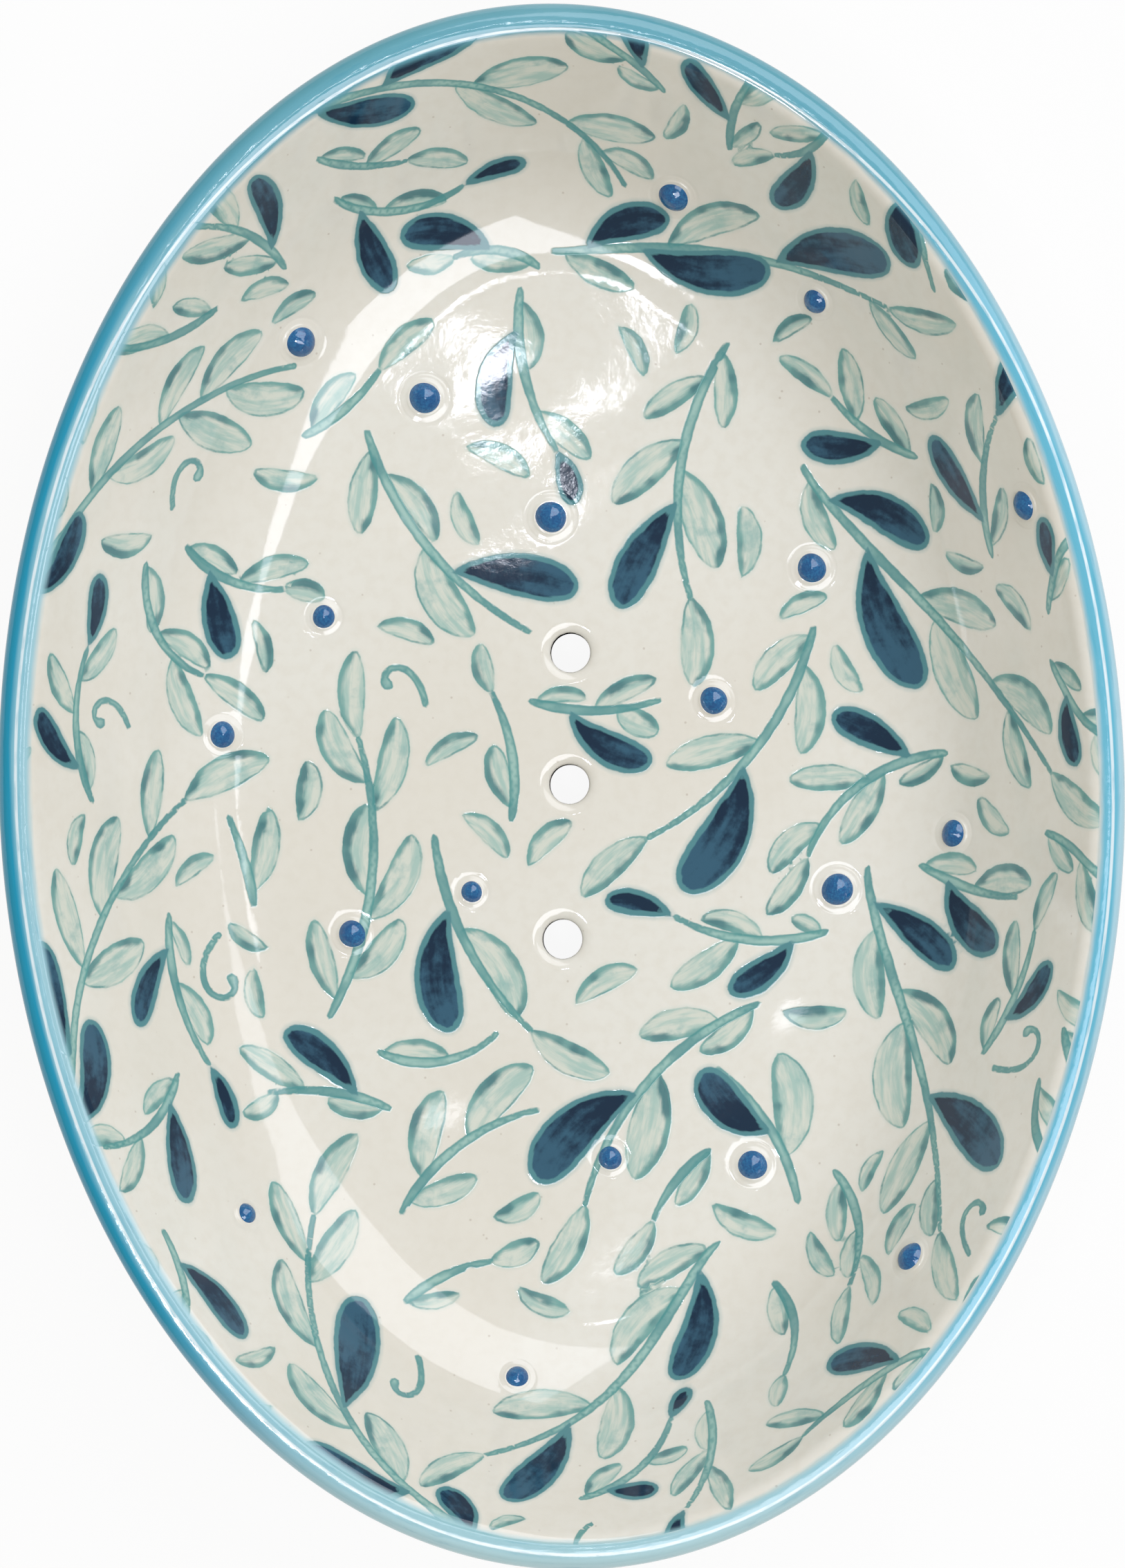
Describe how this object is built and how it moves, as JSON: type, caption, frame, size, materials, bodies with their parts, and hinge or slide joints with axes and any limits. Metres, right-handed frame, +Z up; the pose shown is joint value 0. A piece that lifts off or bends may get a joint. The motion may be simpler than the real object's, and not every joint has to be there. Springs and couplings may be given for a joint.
{
  "type": "soap dish",
  "caption": "Oval glazed ceramic soap dish: flat floor with drain holes along the middle, sloping wall, round lip with a colour band, raised dots, and a foot ring to stand on.",
  "frame": {"origin": "under the middle of the dish, on the surface that the foot ring stands on", "axes": "+Z up, +Y along the dish towards the top of the picture, +X across it to the right"},
  "size_m": [0.1006, 0.14, 0.023],
  "materials": {
    "cream_glazed_clay": "gloss cream glaze over painted leaves, bare clay on the foot",
    "turquoise_glaze": "gloss turquoise glaze, brushed and streaky",
    "cobalt_slip": "gloss cobalt blue slip"
  },
  "bodies": {
    "root": {"dish_body": "cream_glazed_clay", "rim_glaze_band": "turquoise_glaze", "raised_dot_01": "cobalt_slip", "raised_dot_02": "cobalt_slip", "raised_dot_03": "cobalt_slip", "raised_dot_04": "cobalt_slip", "raised_dot_05": "cobalt_slip", "raised_dot_06": "cobalt_slip", "raised_dot_07": "cobalt_slip", "raised_dot_08": "cobalt_slip", "raised_dot_09": "cobalt_slip", "raised_dot_10": "cobalt_slip", "raised_dot_11": "cobalt_slip", "raised_dot_12": "cobalt_slip", "raised_dot_13": "cobalt_slip", "raised_dot_14": "cobalt_slip", "raised_dot_15": "cobalt_slip", "raised_dot_16": "cobalt_slip", "raised_dot_17": "cobalt_slip", "raised_dot_18": "cobalt_slip", "raised_dot_19": "cobalt_slip"}
  },
  "joints": []
}
